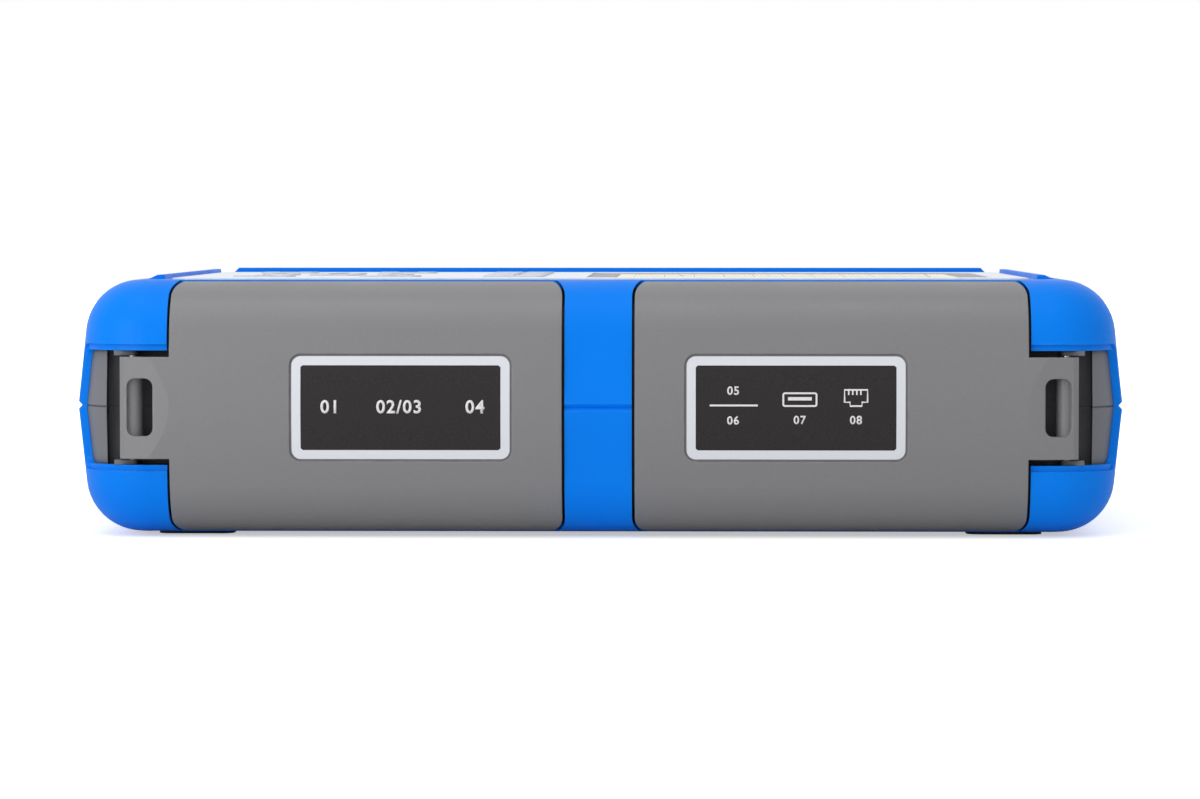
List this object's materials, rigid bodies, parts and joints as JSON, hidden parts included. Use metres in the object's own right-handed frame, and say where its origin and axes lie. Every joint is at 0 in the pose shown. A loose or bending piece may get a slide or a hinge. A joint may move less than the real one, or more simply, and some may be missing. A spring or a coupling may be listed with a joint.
{
  "type": "optical time domain reflectometer",
  "caption": "Field fibre tester in a grey case with a blue overmould: two hinged port doors at the connector end, a display, a keypad and a folding stand",
  "frame": {"origin": "on the ground under the middle of the bounding box, with the tester lying on its rear feet", "axes": "+X right across the connector end, -Y towards the connector end, +Z towards the screen side"},
  "size_m": [0.2498, 0.1679, 0.0624],
  "materials": {
    "blue_overmould": "satin soft-touch overmould",
    "grey_shell": "fine moulded texture",
    "grey_door": "fine moulded texture",
    "label_film": "matt printed film with a white border",
    "steel": "ground",
    "black_rubber": "matt",
    "dark_plate": "matt",
    "plated_metal": "nickel plated",
    "brass_body": "turned",
    "black_plastic": "moulded",
    "circuit_board": "solder mask",
    "anodised_case": "anodised",
    "yellow_fibre": "coated fibre",
    "light_pipe": "clear moulding",
    "pale_fascia": "gloss printed panel",
    "display_glass": "coated glass",
    "silicone_mat": "matt silicone",
    "battery_wrap": "shrink sleeve",
    "key_rubber": "satin silicone"
  },
  "bodies": {
    "case": {"front_housing": "grey_shell", "rear_housing": "grey_shell", "seam_gasket": "black_rubber", "front_bumper": "blue_overmould", "rear_bumper": "blue_overmould", "data_door_pin": "steel", "fibre_door_pin": "steel", "data_bay_seal": "black_rubber", "fibre_bay_seal": "black_rubber", "fibre_port_plate": "dark_plate", "data_port_plate": "dark_plate", "fault_locator_adapter": "plated_metal", "trace_adapter": "plated_metal", "power_meter_adapter": "plated_metal", "fault_locator_laser": "brass_body", "power_meter_detector": "brass_body", "network_jack": "black_plastic", "usb_a_socket": "plated_metal", "memory_card_slot": "plated_metal", "usb_c_socket": "plated_metal", "usb_c_riser_board": "circuit_board", "main_board": "circuit_board", "optical_module": "anodised_case", "fibre_spool": "black_plastic", "fibre_coil": "yellow_fibre", "status_lights": "light_pipe", "front_fascia": "pale_fascia", "display_glass": "display_glass", "display_module": "steel", "keypad_mat": "silicone_mat", "keypad_board": "circuit_board", "battery_pack": "battery_wrap", "battery_cover": "grey_shell", "battery_cover_screws": "steel", "kickstand_pins": "steel", "rubber_feet": "black_rubber", "case_screws": "steel", "speaker": "black_plastic"},
    "data_door": {"data_port_door": "grey_door", "data_door_label": "label_film"},
    "fibre_door": {"fibre_port_door": "grey_door", "fibre_door_label": "label_film"},
    "stand": {"kickstand": "grey_door"},
    "soft_key_1_cap": {"soft_key_1": "key_rubber"},
    "soft_key_2_cap": {"soft_key_2": "key_rubber"},
    "soft_key_3_cap": {"soft_key_3": "key_rubber"},
    "soft_key_4_cap": {"soft_key_4": "key_rubber"},
    "soft_key_5_cap": {"soft_key_5": "key_rubber"},
    "ok_key_cap": {"ok_key": "key_rubber"},
    "up_key_cap": {"up_key": "key_rubber"},
    "down_key_cap": {"down_key": "key_rubber"},
    "left_key_cap": {"left_key": "key_rubber"},
    "right_key_cap": {"right_key": "key_rubber"},
    "power_key_cap": {"power_key": "key_rubber"},
    "start_key_cap": {"start_key": "key_rubber"},
    "menu_key_cap": {"menu_key": "key_rubber"},
    "escape_key_cap": {"escape_key": "key_rubber"}
  },
  "joints": [
    {"name": "data_door_hinge", "type": "hinge", "parent": "case", "child": "data_door", "pos_m": [0.1105, -0.0788, 0.031], "axis": [0, 0, 1], "range_deg": [0, 110]},
    {"name": "fibre_door_hinge", "type": "hinge", "parent": "case", "child": "fibre_door", "pos_m": [-0.1105, -0.0788, 0.031], "axis": [0, 0, -1], "range_deg": [0, 110]},
    {"name": "kickstand_hinge", "type": "hinge", "parent": "case", "child": "stand", "pos_m": [0, -0.043, 0.0034], "axis": [-1, 0, 0], "range_deg": [0, 62]},
    {"name": "soft_key_1_press", "type": "slide", "parent": "case", "child": "soft_key_1_cap", "axis": [0, 0, -1], "range_m": [0, 0.0006], "stiffness_N_per_m": 1500},
    {"name": "soft_key_2_press", "type": "slide", "parent": "case", "child": "soft_key_2_cap", "axis": [0, 0, -1], "range_m": [0, 0.0006], "stiffness_N_per_m": 1500},
    {"name": "soft_key_3_press", "type": "slide", "parent": "case", "child": "soft_key_3_cap", "axis": [0, 0, -1], "range_m": [0, 0.0006], "stiffness_N_per_m": 1500},
    {"name": "soft_key_4_press", "type": "slide", "parent": "case", "child": "soft_key_4_cap", "axis": [0, 0, -1], "range_m": [0, 0.0006], "stiffness_N_per_m": 1500},
    {"name": "soft_key_5_press", "type": "slide", "parent": "case", "child": "soft_key_5_cap", "axis": [0, 0, -1], "range_m": [0, 0.0006], "stiffness_N_per_m": 1500},
    {"name": "ok_key_press", "type": "slide", "parent": "case", "child": "ok_key_cap", "axis": [0, 0, -1], "range_m": [0, 0.0006], "stiffness_N_per_m": 1500},
    {"name": "up_key_press", "type": "slide", "parent": "case", "child": "up_key_cap", "axis": [0, 0, -1], "range_m": [0, 0.0006], "stiffness_N_per_m": 1500},
    {"name": "down_key_press", "type": "slide", "parent": "case", "child": "down_key_cap", "axis": [0, 0, -1], "range_m": [0, 0.0006], "stiffness_N_per_m": 1500},
    {"name": "left_key_press", "type": "slide", "parent": "case", "child": "left_key_cap", "axis": [0, 0, -1], "range_m": [0, 0.0006], "stiffness_N_per_m": 1500},
    {"name": "right_key_press", "type": "slide", "parent": "case", "child": "right_key_cap", "axis": [0, 0, -1], "range_m": [0, 0.0006], "stiffness_N_per_m": 1500},
    {"name": "power_key_press", "type": "slide", "parent": "case", "child": "power_key_cap", "axis": [0, 0, -1], "range_m": [0, 0.0006], "stiffness_N_per_m": 1500},
    {"name": "start_key_press", "type": "slide", "parent": "case", "child": "start_key_cap", "axis": [0, 0, -1], "range_m": [0, 0.0006], "stiffness_N_per_m": 1500},
    {"name": "menu_key_press", "type": "slide", "parent": "case", "child": "menu_key_cap", "axis": [0, 0, -1], "range_m": [0, 0.0006], "stiffness_N_per_m": 1500},
    {"name": "escape_key_press", "type": "slide", "parent": "case", "child": "escape_key_cap", "axis": [0, 0, -1], "range_m": [0, 0.0006], "stiffness_N_per_m": 1500}
  ]
}
